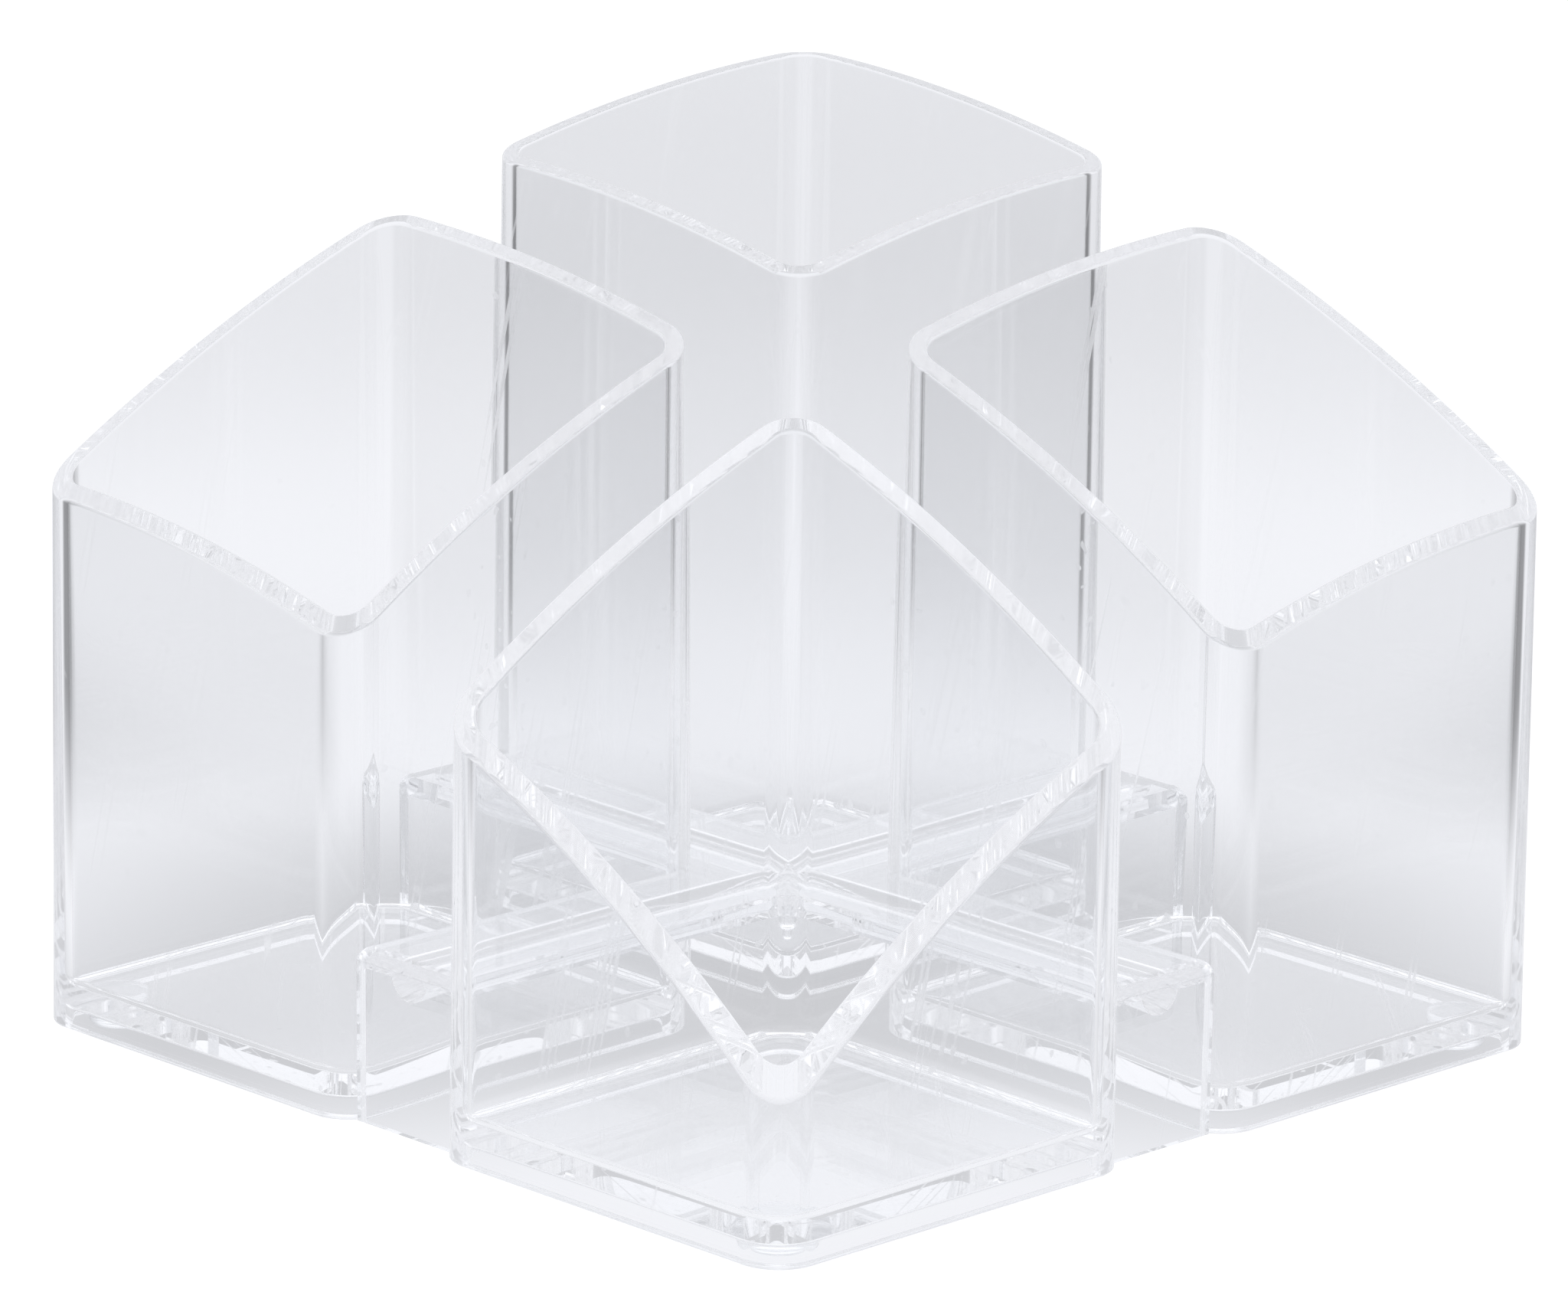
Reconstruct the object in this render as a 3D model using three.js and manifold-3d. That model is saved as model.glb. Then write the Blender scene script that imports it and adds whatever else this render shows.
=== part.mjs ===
// Clear desk organizer: four square cups on one low cross-shaped bridge, their rims trimmed by one
// spherical surface that falls from the back corner to the front corner.
// Millimetres, +Z up, origin at the middle of the footprint on the table.
// The front corner of the organizer is at +X -Y, and the tall cup stands opposite it at -X +Y.

import * as THREE from "three";
import { mergeVertices } from "three/addons/utils/BufferGeometryUtils.js";
import Module from "manifold-3d";

const wasm = await Module();
wasm.setup();

// Cups
const cupWidth = 53.2; // outside, at the table
const cupPitch = 66.8; // middle to middle
const cornerRadius = 5.1; // outside vertical corners
const innerCornerRadius = 3; // inside vertical corners
const wallAtBase = 2.7;
const outerDraft = 0.35; // degrees: the outside narrows upwards
const innerDraft = 0.1; // degrees: the inside widens upwards
const floorTop = 4.4; // above the table
const floorThickness = 2.2; // the rest below it is an open recess

// The sphere that trims all four rims
const domeRadius = 223;
const domeOffset = 62.2; // its middle is this far towards the tall cup, along X and along Y
const domeTop = 97.5; // above the table

// Bridge between the cups
const bridgeTop = 19.5; // above the table
const plateThickness = 2.4;
const ribRadius = 2.9; // half-round rib under each arm
const ribDepth = 2.3; // below the plate
const webSetback = 2.4; // outer face of a web behind the cups' outer faces
const webThickness = 2.2;
const webTopRadius = 1.6;

// Gate boss under the middle of the bridge, and the dimple above it
const bossRadius = 2;
const bossLength = 4.7;
const pinRadius = 1;
const pinLength = 1.4;
const dimpleRadius = 1;
const dimpleDepth = 0.5;

// Round feet under the four outer corners
const footRadius = 3.3;
const footInset = 7.5; // from the cups' outer faces to the middle of a foot
const footEdge = 0.7; // rounding at its lower edge
const footEdgeSteps = 3;

const gap = 0.3; // left between pieces that touch
const reach = 30; // how far the cutting solids run past what they cut
const roundSegments = 24; // around the boss, the dimple and the feet

const cupHalf = cupWidth / 2;
const pitchHalf = cupPitch / 2;
const footprintHalf = pitchHalf + cupHalf;
const slotHalf = pitchHalf - cupHalf; // half the gap between two cups at the table
const outerSlope = Math.tan(THREE.MathUtils.degToRad(outerDraft));
const innerSlope = Math.tan(THREE.MathUtils.degToRad(innerDraft));

// Helpers

function toSolid(geometry) {
  const plain = geometry.clone();
  plain.deleteAttribute("normal");
  plain.deleteAttribute("uv");
  const merged = mergeVertices(plain, 1e-5);
  return new wasm.Manifold(
    new wasm.Mesh({
      numProp: 3,
      vertProperties: new Float32Array(merged.attributes.position.array),
      triVerts: new Uint32Array(merged.index.array),
    }),
  );
}

function toGeometry(solid) {
  const mesh = solid.getMesh();
  const geometry = new THREE.BufferGeometry();
  geometry.setAttribute("position", new THREE.BufferAttribute(mesh.vertProperties, 3));
  geometry.setIndex(new THREE.BufferAttribute(mesh.triVerts, 1));
  geometry.computeVertexNormals();
  return geometry;
}

function roundedSquare(half, radius) {
  const flat = half - radius;
  const shape = new THREE.Shape();
  shape.absarc(flat, flat, radius, 0, Math.PI / 2, false);
  shape.absarc(-flat, flat, radius, Math.PI / 2, Math.PI, false);
  shape.absarc(-flat, -flat, radius, Math.PI, Math.PI * 1.5, false);
  shape.absarc(flat, -flat, radius, Math.PI * 1.5, Math.PI * 2, false);
  shape.closePath();
  return shape;
}

// A prism on a rounded square whose sides move in by slope for each millimetre above z = 0.
function draftedPrism(half, radius, zLow, zHigh, slope) {
  const geometry = new THREE.ExtrudeGeometry(roundedSquare(half, radius), {
    depth: zHigh - zLow,
    bevelEnabled: false,
    curveSegments: 4,
  });
  geometry.translate(0, 0, zLow);
  const position = geometry.attributes.position;
  for (let i = 0; i < position.count; i += 1) {
    const scale = (half - slope * position.getZ(i)) / half;
    position.setX(i, position.getX(i) * scale);
    position.setY(i, position.getY(i) * scale);
  }
  return geometry;
}

function box(x0, x1, y0, y1, z0, z1) {
  const geometry = new THREE.BoxGeometry(x1 - x0, y1 - y0, z1 - z0);
  geometry.translate((x0 + x1) / 2, (y0 + y1) / 2, (z0 + z1) / 2);
  return geometry;
}

// A solid of revolution about Z from [radius, height] pairs that run from axis to axis, upwards.
function turned(profile, segments) {
  const points = profile.map(([r, z]) => new THREE.Vector2(r, z));
  const geometry = new THREE.LatheGeometry(points, segments);
  geometry.rotateX(Math.PI / 2);
  return geometry;
}

const clearPlastic = new THREE.MeshStandardMaterial({
  color: 0xdfe3e8,
  roughness: 0.06,
  metalness: 0,
  transparent: true,
  opacity: 0.45,
});

const organizer = new THREE.Group();

function addPiece(name, solid) {
  const mesh = new THREE.Mesh(toGeometry(solid), clearPlastic);
  mesh.name = name;
  organizer.add(mesh);
}

// Cups

const dome = (() => {
  const geometry = new THREE.SphereGeometry(domeRadius, 256, 128);
  geometry.translate(-domeOffset, domeOffset, domeTop - domeRadius);
  return toSolid(geometry);
})();

function cupCentre(signX, signY) {
  return [signX * pitchHalf, signY * pitchHalf, 0];
}

// The cup's outside, grown by a clearance, for everything that meets its walls.
function cupEnvelope(signX, signY, clearance) {
  const prism = draftedPrism(
    cupHalf + clearance,
    cornerRadius + clearance,
    -reach,
    domeTop + reach,
    outerSlope,
  );
  return toSolid(prism).translate(cupCentre(signX, signY));
}

function cupHollow(signX, signY) {
  const half = cupHalf - wallAtBase;
  const well = draftedPrism(half, innerCornerRadius, floorTop, domeTop + reach, -innerSlope);
  return toSolid(well).translate(cupCentre(signX, signY));
}

function cupSolid(signX, signY) {
  const outside = toSolid(draftedPrism(cupHalf, cornerRadius, 0, domeTop + 1, outerSlope));
  const recessHalf = cupHalf - wallAtBase;
  const recess = toSolid(
    draftedPrism(recessHalf, innerCornerRadius, -1, floorTop - floorThickness, innerSlope),
  );
  return outside
    .subtract(recess)
    .translate(cupCentre(signX, signY))
    .subtract(cupHollow(signX, signY))
    .intersect(dome);
}

const cups = [
  ["tall_cup", -1, 1],
  ["left_cup", -1, -1],
  ["right_cup", 1, 1],
  ["low_cup", 1, -1],
];

for (const [name, signX, signY] of cups) {
  addPiece(name, cupSolid(signX, signY));
}

// Bridge

const envelopes = cups.map(([, signX, signY]) => cupEnvelope(signX, signY, gap));

function clearOfCups(solid) {
  return envelopes.reduce((left, envelope) => left.subtract(envelope), solid);
}

const plateBottom = bridgeTop - plateThickness;
const hubHalf = slotHalf + cornerRadius; // the hub ends where the cups' straight sides begin
const webOuter = footprintHalf - webSetback;
const webInner = webOuter - webThickness;

// Everything along an arm is drawn for the arm that runs towards -Y and then turned into place.
function ribSolid(fromY, toY) {
  const centreZ = plateBottom - ribDepth + ribRadius;
  const shape = new THREE.Shape();
  shape.absarc(0, centreZ, ribRadius, 0, Math.PI * 2, false);
  const geometry = new THREE.ExtrudeGeometry(shape, {
    depth: fromY - toY,
    bevelEnabled: false,
    curveSegments: 8,
  });
  geometry.rotateX(Math.PI / 2);
  geometry.translate(0, fromY, 0);
  const below = box(-ribRadius, ribRadius, toY - 1, fromY + 1, 0, plateBottom + plateThickness / 2);
  return toSolid(geometry).intersect(toSolid(below));
}

function armSolid() {
  const fromY = -hubHalf - gap;
  const toY = -webInner + gap;
  const wide = slotHalf + cornerRadius;
  const plate = toSolid(box(-wide, wide, toY, fromY, plateBottom, bridgeTop));
  return plate.add(ribSolid(fromY, toY));
}

// A web with its top outer edge rounded.
function webSolid() {
  const wide = slotHalf + cornerRadius;
  const shape = new THREE.Shape();
  shape.moveTo(-webInner, 0);
  shape.lineTo(-webInner, bridgeTop);
  shape.lineTo(-webOuter + webTopRadius, bridgeTop);
  shape.absarc(-webOuter + webTopRadius, bridgeTop - webTopRadius, webTopRadius, Math.PI / 2, Math.PI, false);
  shape.lineTo(-webOuter, 0);
  shape.closePath();
  const geometry = new THREE.ExtrudeGeometry(shape, {
    depth: 2 * wide,
    bevelEnabled: false,
    curveSegments: 4,
  });
  geometry.translate(0, 0, -wide);
  // The shape's x becomes Y and its y becomes Z.
  geometry.rotateX(Math.PI / 2);
  geometry.rotateZ(Math.PI / 2);
  return toSolid(geometry);
}

function hubSolid() {
  const plate = clearOfCups(toSolid(box(-hubHalf, hubHalf, -hubHalf, hubHalf, plateBottom, bridgeTop)));
  const bossBottom = plateBottom - bossLength;
  const boss = turned(
    [
      [0, bossBottom - pinLength],
      [pinRadius, bossBottom - pinLength],
      [pinRadius, bossBottom],
      [bossRadius, bossBottom],
      [bossRadius, plateBottom + plateThickness / 2],
      [0, plateBottom + plateThickness / 2],
    ],
    roundSegments,
  );
  const dimple = turned(
    [
      [0, bridgeTop - dimpleDepth],
      [dimpleRadius, bridgeTop - dimpleDepth],
      [dimpleRadius, bridgeTop + 1],
      [0, bridgeTop + 1],
    ],
    roundSegments,
  );
  return plate.add(toSolid(boss)).subtract(toSolid(dimple));
}

const sides = [
  ["front_left", 0],
  ["front_right", 90],
  ["back_right", 180],
  ["back_left", 270],
];

addPiece("hub", hubSolid());
for (const [side, turn] of sides) {
  addPiece(`arm_${side}`, clearOfCups(armSolid().rotate([0, 0, turn])));
}
for (const [side, turn] of sides) {
  addPiece(`web_${side}`, clearOfCups(webSolid().rotate([0, 0, turn])));
}

// Feet

function footSolid() {
  const top = floorTop - floorThickness - gap;
  const edge = [];
  for (let i = 0; i <= footEdgeSteps; i += 1) {
    const a = (Math.PI / 2) * (i / footEdgeSteps);
    edge.push([footRadius - footEdge + footEdge * Math.sin(a), footEdge * (1 - Math.cos(a))]);
  }
  return toSolid(turned([[0, 0], ...edge, [footRadius, top], [0, top]], roundSegments));
}

for (const [name, signX, signY] of cups) {
  const at = footprintHalf - footInset;
  addPiece(`foot_${name.replace("_cup", "")}`, footSolid().translate([signX * at, signY * at, 0]));
}

export default organizer;
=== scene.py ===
import bpy
import bmesh
import math
from mathutils import Matrix, Vector


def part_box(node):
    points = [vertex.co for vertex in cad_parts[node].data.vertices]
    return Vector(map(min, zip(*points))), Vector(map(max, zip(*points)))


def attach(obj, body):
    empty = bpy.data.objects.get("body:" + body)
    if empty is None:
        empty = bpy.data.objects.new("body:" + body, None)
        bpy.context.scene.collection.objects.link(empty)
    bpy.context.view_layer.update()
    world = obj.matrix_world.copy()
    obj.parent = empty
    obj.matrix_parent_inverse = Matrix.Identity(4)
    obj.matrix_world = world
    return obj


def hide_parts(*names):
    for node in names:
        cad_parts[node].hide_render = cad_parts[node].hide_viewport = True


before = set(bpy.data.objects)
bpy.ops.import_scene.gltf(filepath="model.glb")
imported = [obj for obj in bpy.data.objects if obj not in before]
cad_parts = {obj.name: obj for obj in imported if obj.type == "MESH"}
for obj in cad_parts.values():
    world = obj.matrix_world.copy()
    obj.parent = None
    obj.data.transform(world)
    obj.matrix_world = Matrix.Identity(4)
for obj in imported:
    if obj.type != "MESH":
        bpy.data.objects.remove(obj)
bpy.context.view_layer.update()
print("frame loaded:", len(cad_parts), "nodes")

# Pieces are modelled in millimetres and turned into metres when they are finished.
millimetre = 0.001
moulded = 0.02  # mm left between pieces that are one moulding

cupNodes = ["tall_cup", "left_cup", "right_cup", "low_cup"]
sideNames = ["front_left", "front_right", "back_right", "back_left"]


def nodeBox(name):
    low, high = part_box(name)
    return low / millimetre, high / millimetre


# Helpers

def newPiece(name, bm, material, sharpAngle=None):
    bmesh.ops.scale(bm, vec=(millimetre,) * 3, verts=bm.verts)
    mesh = bpy.data.meshes.new(name)
    bm.to_mesh(mesh)
    bm.free()
    piece = bpy.data.objects.new(name, mesh)
    bpy.context.scene.collection.objects.link(piece)
    if material:
        mesh.materials.append(material)
    mesh.shade_smooth()
    if sharpAngle:
        mesh.set_sharp_from_angle(angle=math.radians(sharpAngle))
    return piece


def roundedSquare(bm, half, radius, z, centre, cornerSteps, sideSteps):
    # one ring of edges round a square with rounded corners
    place = Matrix.Translation((centre.x, centre.y, z))
    square = bmesh.ops.create_grid(bm, x_segments=1, y_segments=1, size=half, matrix=place)
    corners = square["verts"]
    bmesh.ops.bevel(
        bm, geom=corners, offset=radius, offset_type="OFFSET", affect="VERTICES",
        segments=cornerSteps, profile=0.5, material=-1,
    )
    face = next(f for f in bm.faces if len(f.verts) == 4 * (cornerSteps + 1))
    sides = [e for e in face.edges if e.calc_length() > half]
    bmesh.ops.subdivide_edges(bm, edges=sides, cuts=sideSteps - 1)
    ring = list(face.edges)
    bmesh.ops.delete(bm, geom=[face], context="FACES_ONLY")
    return ring


def ringVerts(ring):
    return list({v for e in ring for v in e.verts})


def bridgeRings(bm, one, other):
    # held apart in height while they are joined, so that rings in one plane pair up the right way
    moved = ringVerts(other)
    apart = Vector((0, 0, 200))
    bmesh.ops.translate(bm, vec=apart, verts=moved)
    bmesh.ops.bridge_loops(bm, edges=one + other)
    bmesh.ops.translate(bm, vec=-apart, verts=moved)


def markBevel(bm, ring, share):
    weight = bm.edges.layers.float["bevel_weight_edge"]
    for e in ring:
        e[weight] = share


# Cups: one sphere trims all four rims

dome = {"radius": 223.0, "offset": 62.2, "top": 97.5}
cup = {
    "cornerRadius": 5.1,
    "innerCornerRadius": 3.0,
    "wall": 2.7,
    "outerDraft": 0.35,  # degrees
    "innerDraft": 0.1,
    "floorTop": 4.4,
    "floorThickness": 2.2,
    "floorRounding": 1.4,
    "rimRounding": 0.4,
    "footRounding": 0.3,
    "cornerSteps": 16,
    "sideSteps": 28,
    "roundingSteps": 4,
    "flatWalls": 50,  # how strongly large faces set the shading
}


def domeHeight(x, y):
    across = (x + dome["offset"]) ** 2 + (y - dome["offset"]) ** 2
    return dome["top"] - dome["radius"] + math.sqrt(dome["radius"] ** 2 - across)


def cupRing(bm, centre, half, radius, z):
    return roundedSquare(bm, half, radius, z, centre, cup["cornerSteps"], cup["sideSteps"])


def raiseToDome(ring, centre, half, slope):
    # the wall leans by its draft, so its height and its place are found together, in three rounds
    for v in ringVerts(ring):
        start = v.co.copy()
        z = domeHeight(v.co.x, v.co.y)
        for _ in range(3):
            share = (half - slope * z) / half
            v.co.x = centre.x + (start.x - centre.x) * share
            v.co.y = centre.y + (start.y - centre.y) * share
            z = domeHeight(v.co.x, v.co.y)
        v.co.z = z


def makeCup(node, material):
    low, high = nodeBox(node)
    centre = (low + high) / 2
    half = (high.x - low.x) / 2
    innerHalf = half - cup["wall"]
    outerSlope = math.tan(math.radians(cup["outerDraft"]))
    innerSlope = math.tan(math.radians(cup["innerDraft"]))
    bm = bmesh.new()
    bm.edges.layers.float.new("bevel_weight_edge")
    outerFoot = cupRing(bm, centre, half, cup["cornerRadius"], 0)
    outerRim = cupRing(bm, centre, half, cup["cornerRadius"], 0)
    innerRim = cupRing(bm, centre, innerHalf, cup["innerCornerRadius"], 0)
    innerFloor = cupRing(bm, centre, innerHalf, cup["innerCornerRadius"], cup["floorTop"])
    recessFoot = cupRing(bm, centre, innerHalf, cup["innerCornerRadius"], 0)
    floorUnderside = cup["floorTop"] - cup["floorThickness"]
    recessTop = cupRing(bm, centre, innerHalf, cup["innerCornerRadius"], floorUnderside)
    raiseToDome(outerRim, centre, half, outerSlope)
    raiseToDome(innerRim, centre, innerHalf, -innerSlope)
    bmesh.ops.contextual_create(bm, geom=innerFloor)
    bmesh.ops.contextual_create(bm, geom=recessTop)
    markBevel(bm, outerFoot, cup["footRounding"] / cup["floorRounding"])
    markBevel(bm, outerRim + innerRim, cup["rimRounding"] / cup["floorRounding"])
    markBevel(bm, innerFloor, 1)
    markBevel(bm, recessFoot + recessTop, cup["footRounding"] / cup["floorRounding"])
    for one, other in [
        (outerFoot, outerRim), (outerRim, innerRim), (innerRim, innerFloor),
        (outerFoot, recessFoot), (recessFoot, recessTop),
    ]:
        bridgeRings(bm, one, other)
    bmesh.ops.recalc_face_normals(bm, faces=bm.faces)
    piece = newPiece(f"clear_{node}", bm, material)
    rounding = piece.modifiers.new("rounding", "BEVEL")
    rounding.limit_method = "WEIGHT"
    rounding.width = cup["floorRounding"] * millimetre
    rounding.segments = cup["roundingSteps"]
    rounding.profile = 0.5
    rounding.use_clamp_overlap = False
    normals = piece.modifiers.new("flat walls", "WEIGHTED_NORMAL")
    normals.mode = "FACE_AREA"
    normals.weight = cup["flatWalls"]
    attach(piece, "root")
    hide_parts(node)


# Bridge: plate, half-round ribs, four webs and the gate boss in one moulding

bridge = {
    "plateThickness": 2.4,
    "webThickness": 2.2,
    "webTopRadius": 1.6,
    "webTopSteps": 6,
    "ribRadius": 2.9,
    "ribDepth": 2.3,
    "bossRadius": 2.0,
    "bossLength": 4.7,
    "bossRoot": 0.4,  # how far it runs into the plate, as a share of the plate
    "pinRadius": 1.0,
    "pinLength": 1.4,
    "dimpleRadius": 1.0,
    "dimpleDepth": 0.5,
    "bossEdge": 0.4,
    "pinEdge": 0.3,
    "dimpleEdge": 0.4,
    "roundSteps": 48,
    "seamWeld": 0.0001,  # mm, closes a spun seam
    "weld": 0.002,  # closes slivers left by the cuts
    "sharpAngle": 28,  # degrees
    "spaceLow": -5,  # the cups' spaces are cut out between these heights
    "spaceHigh": 30,
}


def turned(bm, profile, centre):
    # [radius, height] pairs from axis to axis, spun about Z
    points = [bm.verts.new((r, 0, z)) for r, z in profile]
    edges = [bm.edges.new(pair) for pair in zip(points, points[1:])]
    bmesh.ops.spin(
        bm, geom=points + edges, cent=(0, 0, 0), axis=(0, 0, 1), angle=math.tau,
        steps=bridge["roundSteps"], use_merge=True,
    )
    bmesh.ops.remove_doubles(bm, verts=bm.verts, dist=bridge["seamWeld"])
    bmesh.ops.recalc_face_normals(bm, faces=bm.faces)
    bmesh.ops.translate(bm, vec=centre, verts=bm.verts)


def roundedEdge(radius, z, edge, steps=5):
    # a quarter round from the underside at z out to the side
    angles = [math.pi / 2 * i / steps for i in range(steps + 1)]
    return [(radius - edge * (1 - math.sin(a)), z + edge * (1 - math.cos(a))) for a in angles]


def cutOrJoin(piece, others, operation):
    for other in others:
        step = piece.modifiers.new(operation, "BOOLEAN")
        step.operation = operation
        step.solver = "EXACT"
        step.object = other
    worked = bpy.context.evaluated_depsgraph_get()
    mesh = bpy.data.meshes.new_from_object(piece.evaluated_get(worked))
    piece.modifiers.clear()
    piece.data = mesh
    for other in others:
        bpy.data.objects.remove(other)


def cupSpace(node):
    # the outside of a cup, a hair larger
    low, high = nodeBox(node)
    centre = (low + high) / 2
    half = (high.x - low.x) / 2 + moulded
    radius = cup["cornerRadius"] + moulded
    lean = math.tan(math.radians(cup["outerDraft"]))
    bm = bmesh.new()
    bottom = cupRing(bm, centre, half, radius, bridge["spaceLow"])
    top = cupRing(bm, centre, half, radius, bridge["spaceHigh"])
    for ring, z in [(bottom, bridge["spaceLow"]), (top, bridge["spaceHigh"])]:
        share = (half - lean * z) / half
        bmesh.ops.scale(
            bm, vec=(share, share, 1), verts=ringVerts(ring),
            space=Matrix.Translation((-centre.x, -centre.y, 0)),
        )
    bmesh.ops.contextual_create(bm, geom=bottom)
    bmesh.ops.contextual_create(bm, geom=top)
    bmesh.ops.bridge_loops(bm, edges=bottom + top)
    bmesh.ops.recalc_face_normals(bm, faces=bm.faces)
    return newPiece(f"space_{node}", bm, None)


def makeBridge(material):
    low, high = nodeBox("hub")
    topZ = high.z
    outer = nodeBox("web_front_right")[1].x
    plateBottom = topZ - bridge["plateThickness"]

    # an upturned tray: the plate with a skirt round it
    bm = bmesh.new()
    bmesh.ops.create_cube(bm, size=1)
    bmesh.ops.scale(bm, vec=(2 * outer, 2 * outer, topZ), verts=bm.verts)
    bmesh.ops.translate(bm, vec=(0, 0, topZ / 2), verts=bm.verts)
    under = [f for f in bm.faces if f.normal.z < -0.5]
    bmesh.ops.inset_region(bm, faces=under, thickness=bridge["webThickness"])
    under = [max((f for f in bm.faces if f.normal.z < -0.5), key=lambda f: f.calc_area())]
    inside = bmesh.ops.extrude_face_region(bm, geom=under)
    bmesh.ops.delete(bm, geom=under, context="FACES")
    raised = [g for g in inside["geom"] if isinstance(g, bmesh.types.BMVert)]
    bmesh.ops.translate(bm, vec=(0, 0, plateBottom), verts=raised)
    nearTop = topZ - bridge["seamWeld"]
    rim = [e for e in bm.edges if all(v.co.z > nearTop for v in e.verts)]
    bmesh.ops.bevel(
        bm, geom=rim, offset=bridge["webTopRadius"], affect="EDGES",
        segments=bridge["webTopSteps"], profile=0.5, material=-1,
    )
    bmesh.ops.recalc_face_normals(bm, faces=bm.faces)
    tray = newPiece("clear_bridge", bm, material)
    cutOrJoin(tray, [cupSpace(node) for node in cupNodes], "DIFFERENCE")

    ribs = []
    for turn in (0, math.pi / 2):
        bm = bmesh.new()
        length = 2 * (outer - bridge["webThickness"] / 2)
        bmesh.ops.create_cone(
            bm, cap_ends=True, segments=bridge["roundSteps"], radius1=bridge["ribRadius"],
            radius2=bridge["ribRadius"], depth=length,
            matrix=Matrix.Rotation(turn, 4, "Z") @ Matrix.Rotation(math.pi / 2, 4, "X"),
        )
        bmesh.ops.translate(
            bm, vec=(0, 0, plateBottom - bridge["ribDepth"] + bridge["ribRadius"]), verts=bm.verts,
        )
        level = plateBottom + bridge["plateThickness"] / 2
        cut = bmesh.ops.bisect_plane(
            bm, geom=bm.verts[:] + bm.edges[:] + bm.faces[:], plane_co=(0, 0, level),
            plane_no=(0, 0, 1), clear_outer=True,
        )
        opened = [g for g in cut["geom_cut"] if isinstance(g, bmesh.types.BMEdge)]
        bmesh.ops.holes_fill(bm, edges=opened)
        bmesh.ops.recalc_face_normals(bm, faces=bm.faces)
        ribs.append(newPiece("rib", bm, None))
    bossBottom = plateBottom - bridge["bossLength"]
    pinBottom = bossBottom - bridge["pinLength"]
    bossTop = plateBottom + bridge["bossRoot"] * bridge["plateThickness"]
    bm = bmesh.new()
    turned(bm, [
        (0, pinBottom),
        *roundedEdge(bridge["pinRadius"], pinBottom, bridge["pinEdge"]),
        (bridge["pinRadius"], bossBottom),
        *roundedEdge(bridge["bossRadius"], bossBottom, bridge["bossEdge"]),
        (bridge["bossRadius"], bossTop),
        (0, bossTop),
    ], Vector((0, 0, 0)))
    boss = newPiece("boss", bm, None)
    cutOrJoin(tray, ribs + [boss], "UNION")
    dimpleBottom = topZ - bridge["dimpleDepth"]
    dimpleTop = topZ + 1  # stands proud, so that it cuts cleanly
    bm = bmesh.new()
    turned(bm, [
        (0, dimpleBottom),
        *roundedEdge(bridge["dimpleRadius"], dimpleBottom, bridge["dimpleEdge"]),
        (bridge["dimpleRadius"], dimpleTop),
        (0, dimpleTop),
    ], Vector((0, 0, 0)))
    cutOrJoin(tray, [newPiece("dimple", bm, None)], "DIFFERENCE")
    clean = bmesh.new()
    clean.from_mesh(tray.data)
    bmesh.ops.remove_doubles(clean, verts=clean.verts, dist=bridge["weld"] * millimetre)
    bmesh.ops.dissolve_degenerate(clean, edges=clean.edges, dist=bridge["weld"] * millimetre)
    clean.to_mesh(tray.data)
    clean.free()
    tray.data.shade_smooth()
    tray.data.set_sharp_from_angle(angle=math.radians(bridge["sharpAngle"]))
    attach(tray, "root")
    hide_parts("hub", *[f"arm_{s}" for s in sideNames], *[f"web_{s}" for s in sideNames])


# Feet: small round pads under the outer corners

foot = {"edge": 0.7, "lift": 0.25, "sharpAngle": 40}


def makeFoot(node, material):
    low, high = nodeBox(node)
    centre = (low + high) / 2
    radius = (high.x - low.x) / 2
    top = high.z + foot["lift"]  # up to the floor
    profile = [(0, 0), *roundedEdge(radius, 0, foot["edge"]), (radius, top), (0, top)]
    bm = bmesh.new()
    turned(bm, profile, Vector((centre.x, centre.y, 0)))
    piece = newPiece(f"round_{node}", bm, material, sharpAngle=foot["sharpAngle"])
    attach(piece, "root")
    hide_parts(node)


# Materials

plastic = {
    "tint": (0.98, 0.982, 0.985),
    "roughness": 0.0,
    "footTint": (0.95, 0.955, 0.96),
    "footRoughness": 0.06,
    "ior": 1.59,
    "waveScale": (42, 42, 4),  # slow waves that run up the walls, per metre
    "waveDepth": 0.022,  # mm
    "scratchScale": (16, 1500, 22),
    "scratchTurn": (0.6, 0.4, 0.8),  # radians
    "scratchShare": 0.74,  # higher leaves fewer scratches
    "scratchFade": 0.05,
    "speckScale": (500, 500, 500),
    "speckShare": 0.79,
    "speckFade": 0.04,
    "wornRoughness": 0.2,
}


def addNode(tree, kind, **values):
    node = tree.nodes.new(kind)
    for key, value in values.items():
        setattr(node, key, value)
    return node


def compute(tree, operation, *terms):
    node = addNode(tree, "ShaderNodeMath", operation=operation)
    for socket, term in zip(node.inputs, terms):
        if isinstance(term, (int, float)):
            socket.default_value = term
        else:
            tree.links.new(term, socket)
    return node.outputs[0]


def ramp(tree, value, fromLevel, toLevel, start=0.0, end=1.0):
    node = addNode(tree, "ShaderNodeMapRange", interpolation_type="SMOOTHSTEP")
    tree.links.new(value, node.inputs["Value"])
    for key, level in [
        ("From Min", fromLevel), ("From Max", toLevel), ("To Min", start), ("To Max", end),
    ]:
        node.inputs[key].default_value = level
    return node.outputs["Result"]


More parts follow.
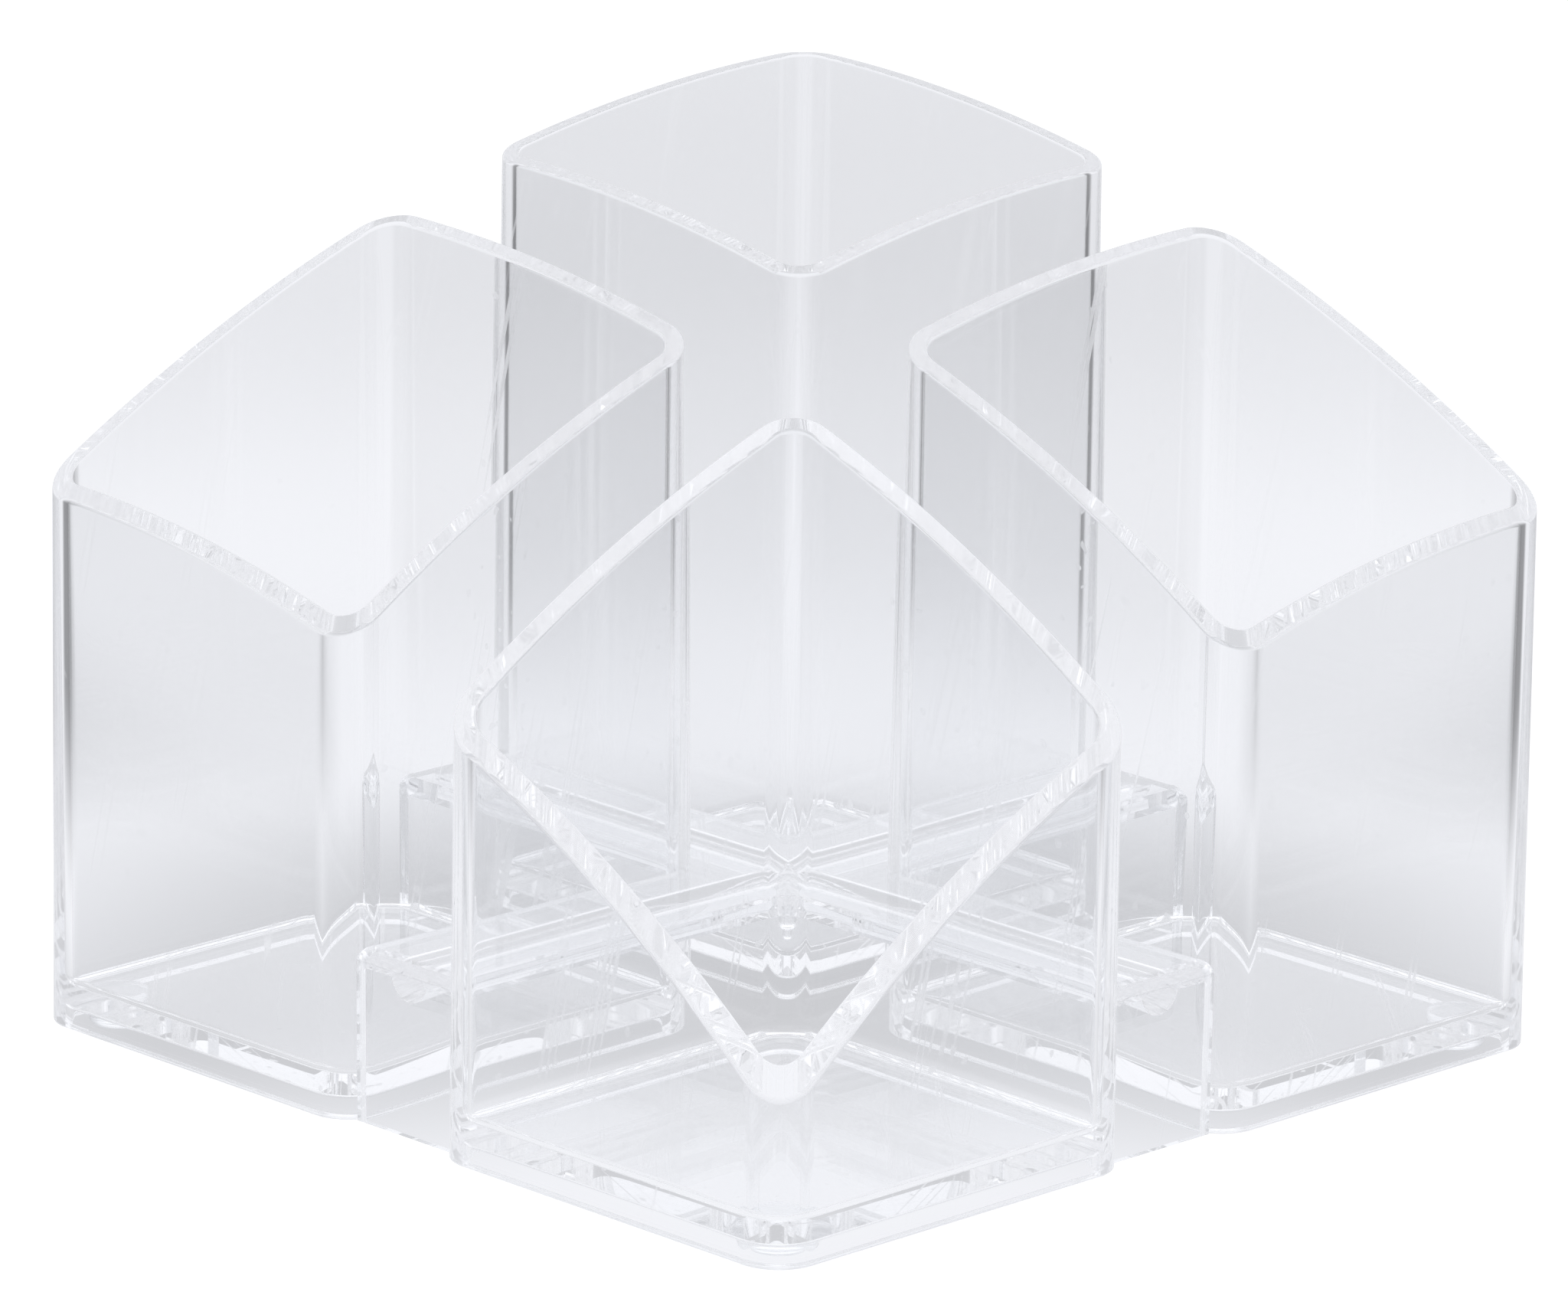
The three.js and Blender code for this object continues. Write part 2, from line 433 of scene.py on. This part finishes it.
def mapped(tree, scale, turn=(0, 0, 0)):
    where = addNode(tree, "ShaderNodeTexCoord")
    node = addNode(tree, "ShaderNodeMapping", vector_type="POINT")
    node.inputs["Rotation"].default_value = turn
    stretch = addNode(tree, "ShaderNodeVectorMath", operation="MULTIPLY")
    stretch.inputs[1].default_value = scale
    tree.links.new(where.outputs["Object"], node.inputs["Vector"])
    tree.links.new(node.outputs["Vector"], stretch.inputs[0])
    return stretch.outputs["Vector"]


def noise(tree, vector):
    node = addNode(tree, "ShaderNodeTexNoise")
    node.inputs["Scale"].default_value = 1
    node.inputs["Detail"].default_value = 0
    tree.links.new(vector, node.inputs["Vector"])
    return node.outputs[0]


def clearPlastic(name, tint, roughness):
    # clear moulded plastic: faint flow waves, hairline scratches and a few dull specks
    material = bpy.data.materials.new(name)
    material.use_nodes = True
    tree = material.node_tree
    shader = tree.nodes["Principled BSDF"]
    shader.inputs["Base Color"].default_value = (*tint, 1)
    shader.inputs["IOR"].default_value = plastic["ior"]
    shader.inputs["Transmission Weight"].default_value = 1
    waves = noise(tree, mapped(tree, plastic["waveScale"]))
    lines = noise(tree, mapped(tree, plastic["scratchScale"], plastic["scratchTurn"]))
    scratchFrom, speckFrom = plastic["scratchShare"], plastic["speckShare"]
    scratches = ramp(tree, lines, scratchFrom, scratchFrom + plastic["scratchFade"])
    dust = noise(tree, mapped(tree, plastic["speckScale"]))
    specks = ramp(tree, dust, speckFrom, speckFrom + plastic["speckFade"])
    worn = compute(tree, "MAXIMUM", scratches, specks)
    dullness = ramp(tree, worn, 0.0, 1.0, roughness, plastic["wornRoughness"])
    tree.links.new(dullness, shader.inputs["Roughness"])
    relief = addNode(tree, "ShaderNodeBump")
    relief.inputs["Strength"].default_value = 1
    relief.inputs["Distance"].default_value = plastic["waveDepth"] * millimetre
    tree.links.new(waves, relief.inputs["Height"])
    tree.links.new(relief.outputs["Normal"], shader.inputs["Normal"])
    return material


cupPlastic = clearPlastic("clear cup plastic", plastic["tint"], plastic["roughness"])
bridgePlastic = clearPlastic("clear bridge plastic", plastic["tint"], plastic["roughness"])
footPlastic = clearPlastic("clear foot plastic", plastic["footTint"], plastic["footRoughness"])

for node in cupNodes:
    makeCup(node, cupPlastic)
print("cups made")
makeBridge(bridgePlastic)
print("bridge made")
for node in cupNodes:
    makeFoot("foot_" + node.replace("_cup", ""), footPlastic)
print("feet made")


# Floor, light and camera

view = {
    "azimuth": 45.505,
    "elevation": 14.405,
    "roll": -0.774,
    "distance": 839.65,
    "target": Vector((-0.627, -0.638, 44.680)),
    "lens": 173.15,
    "sensorWidth": 36,
    "clip": (0.05, 20),  # metres
}
studio = {
    "floorHalf": 4.0,
    "floorDepth": 0.05,  # mm below the feet, so that no faces lie in one plane
    "floorSeen": 0.86,  # glow of the floor where it is looked at directly
    "floorSeenColour": 0.2,
    "glow": 0.97,  # what the plastic bends and mirrors, near the object
    "glowFar": 0.89,
    "farFade": (0.25, 0.42),  # metres from the middle
    "paintedShadowBack": 0.64,  # painted shadow in the floor's glow, under the back of the object
    "paintedShadowFront": 0.95,  # painted shadow in the floor's glow, lighter under its front
    "paintedShadowSlope": (-0.06, 0.0),
    "shadeFade": (0.06, 0.12),
    "paintedSideShadeDrop": 0.66,  # painted shade in the floor's glow, darker to either side of the line of sight, which the plastic bends and mirrors
    "asideFrom": 0.11,
    "asideTo": 0.22,
    "asideEnd": (2, 3),  # times asideTo
    "asideShare": (0.45, 0.8),
    "skySeen": 1.0,
    "skyGlow": 0.92,
    "skyBehind": 0.15,  # added low down behind the object
    "skyFront": 0.15,  # taken away low down in front of it
    "skyTop": 1.25,
    "topFade": (0.3, 0.95),
    "behindLow": (0.02, 0.14),
    "behindHigh": (0.35, 0.6),
    "behindFade": (0.2, 0.8),
    "frontHigh": (0.5, 0.8),
    "frontFade": (-0.6, -0.15),
    "coolWhite": (0.953, 0.962, 1.0),
    "bounces": 128,
}


def sideAndAlong(tree, vector):
    # to the side of the main line of sight, along it, and up; fixed in the room
    turn = addNode(tree, "ShaderNodeMapping", vector_type="POINT")
    turn.inputs["Rotation"].default_value = (0, 0, -math.radians(view["azimuth"]))
    parts = addNode(tree, "ShaderNodeSeparateXYZ")
    tree.links.new(vector, turn.inputs["Vector"])
    tree.links.new(turn.outputs["Vector"], parts.inputs["Vector"])
    return parts.outputs


def seenOrBent(tree, seen, bent, output):
    # plain white where it is looked at directly, shaped light where the plastic shows it
    path = addNode(tree, "ShaderNodeLightPath")
    mix = addNode(tree, "ShaderNodeMixShader")
    tree.links.new(path.outputs["Is Camera Ray"], mix.inputs[0])
    tree.links.new(bent, mix.inputs[1])
    tree.links.new(seen, mix.inputs[2])
    tree.links.new(mix.outputs[0], output)


def makeFloor():
    bm = bmesh.new()
    level = Matrix.Translation((0, 0, -studio["floorDepth"] * millimetre))
    bmesh.ops.create_grid(bm, x_segments=1, y_segments=1, size=studio["floorHalf"], matrix=level)
    mesh = bpy.data.meshes.new("floor")
    bm.to_mesh(mesh)
    bm.free()
    floor = bpy.data.objects.new("floor", mesh)
    bpy.context.scene.collection.objects.link(floor)
    paint = bpy.data.materials.new("floor paint")
    paint.use_nodes = True
    tree = paint.node_tree
    seen = tree.nodes["Principled BSDF"]
    seen.inputs["Base Color"].default_value = (studio["floorSeenColour"],) * 3 + (1,)
    seen.inputs["Roughness"].default_value = 1
    seen.inputs["Emission Color"].default_value = (1, 1, 1, 1)
    seen.inputs["Emission Strength"].default_value = studio["floorSeen"]
    bent = addNode(tree, "ShaderNodeEmission")
    bent.inputs["Color"].default_value = (*studio["coolWhite"], 1)
    where = addNode(tree, "ShaderNodeTexCoord")
    side, along, _ = sideAndAlong(tree, where.outputs["Object"])
    sideSquare = compute(tree, "MULTIPLY", side, side)
    alongSquare = compute(tree, "MULTIPLY", along, along)
    far = compute(tree, "SQRT", compute(tree, "ADD", sideSquare, alongSquare))
    sideways = compute(tree, "DIVIDE", compute(tree, "ABSOLUTE", side), far)
    # painted shade on the floor's glow to either side of the line of sight, shown in the plastic's
    # bent and mirrored light
    starts = ramp(tree, far, studio["asideFrom"], studio["asideTo"])
    ends = ramp(tree, far, *(studio["asideTo"] * times for times in studio["asideEnd"]), 1.0, 0.0)
    paintedSideShade = compute(tree, "MULTIPLY", ramp(tree, sideways, *studio["asideShare"]), starts)
    paintedSideShade = compute(tree, "MULTIPLY", paintedSideShade, ends)
    # painted shadow on the floor's glow: darker under the object, darkest under its back, fading out
    # with distance from the middle
    under = ramp(tree, along, *studio["paintedShadowSlope"], studio["paintedShadowFront"], studio["paintedShadowBack"])
    shade = ramp(tree, far, *studio["shadeFade"], 1.0, 0.0)
    glow = ramp(tree, far, *studio["farFade"], studio["glow"], studio["glowFar"])
    level = compute(tree, "MULTIPLY_ADD", shade, compute(tree, "SUBTRACT", under, glow), glow)
    level = compute(tree, "MULTIPLY_ADD", paintedSideShade, -studio["paintedSideShadeDrop"], level)
    tree.links.new(level, bent.inputs["Strength"])
    seenOrBent(tree, seen.outputs[0], bent.outputs[0], tree.nodes["Material Output"].inputs["Surface"])
    mesh.materials.append(paint)


def makeSky():
    world = bpy.data.worlds.new("soft studio")
    bpy.context.scene.world = world
    world.use_nodes = True
    tree = world.node_tree
    seen = tree.nodes["Background"]
    seen.inputs["Color"].default_value = (1, 1, 1, 1)
    seen.inputs["Strength"].default_value = studio["skySeen"]
    bent = addNode(tree, "ShaderNodeBackground")
    bent.inputs["Color"].default_value = (*studio["coolWhite"], 1)
    where = addNode(tree, "ShaderNodeTexCoord")
    _, along, height = sideAndAlong(tree, where.outputs["Generated"])
    level = ramp(tree, height, *studio["topFade"], studio["skyGlow"], studio["skyTop"])
    rises = ramp(tree, height, *studio["behindLow"])
    falls = ramp(tree, height, *studio["behindHigh"], 1.0, 0.0)
    band = compute(tree, "MULTIPLY", rises, falls)
    band = compute(tree, "MULTIPLY", band, ramp(tree, along, *studio["behindFade"]))
    level = compute(tree, "MULTIPLY_ADD", band, studio["skyBehind"], level)
    low = ramp(tree, height, *studio["frontHigh"], 1.0, 0.0)
    front = compute(tree, "MULTIPLY", ramp(tree, along, *studio["frontFade"], 1.0, 0.0), low)
    level = compute(tree, "MULTIPLY_ADD", front, -studio["skyFront"], level)
    tree.links.new(level, bent.inputs["Strength"])
    seenOrBent(tree, seen.outputs[0], bent.outputs[0], tree.nodes["World Output"].inputs["Surface"])


def makeCamera():
    turn, tilt, roll = (math.radians(view[k]) for k in ("azimuth", "elevation", "roll"))
    back = Vector((math.sin(turn) * math.cos(tilt), -math.cos(turn) * math.cos(tilt), math.sin(tilt)))
    right = Vector((math.cos(turn), math.sin(turn), 0))
    up = back.cross(right)
    across = right * math.cos(roll) - up * math.sin(roll)
    upright = right * math.sin(roll) + up * math.cos(roll)
    data = bpy.data.cameras.new("camera")
    data.lens = view["lens"]
    data.sensor_width = view["sensorWidth"]
    data.clip_start, data.clip_end = view["clip"]
    camera = bpy.data.objects.new("camera", data)
    bpy.context.scene.collection.objects.link(camera)
    place = (view["target"] + back * view["distance"]) * millimetre
    axes = Matrix((across, upright, back)).transposed().to_4x4()
    camera.matrix_world = Matrix.Translation(place) @ axes
    bpy.context.scene.camera = camera


makeFloor()
makeSky()
makeCamera()
bpy.context.scene.view_settings.view_transform = "Standard"
# light is led a long way inside clear walls before it leaves them
bpy.context.scene.cycles.max_bounces = studio["bounces"]
bpy.context.scene.cycles.glossy_bounces = studio["bounces"]
bpy.context.scene.cycles.transmission_bounces = studio["bounces"]
bpy.context.scene.cycles.blur_glossy = 0
print("studio made")
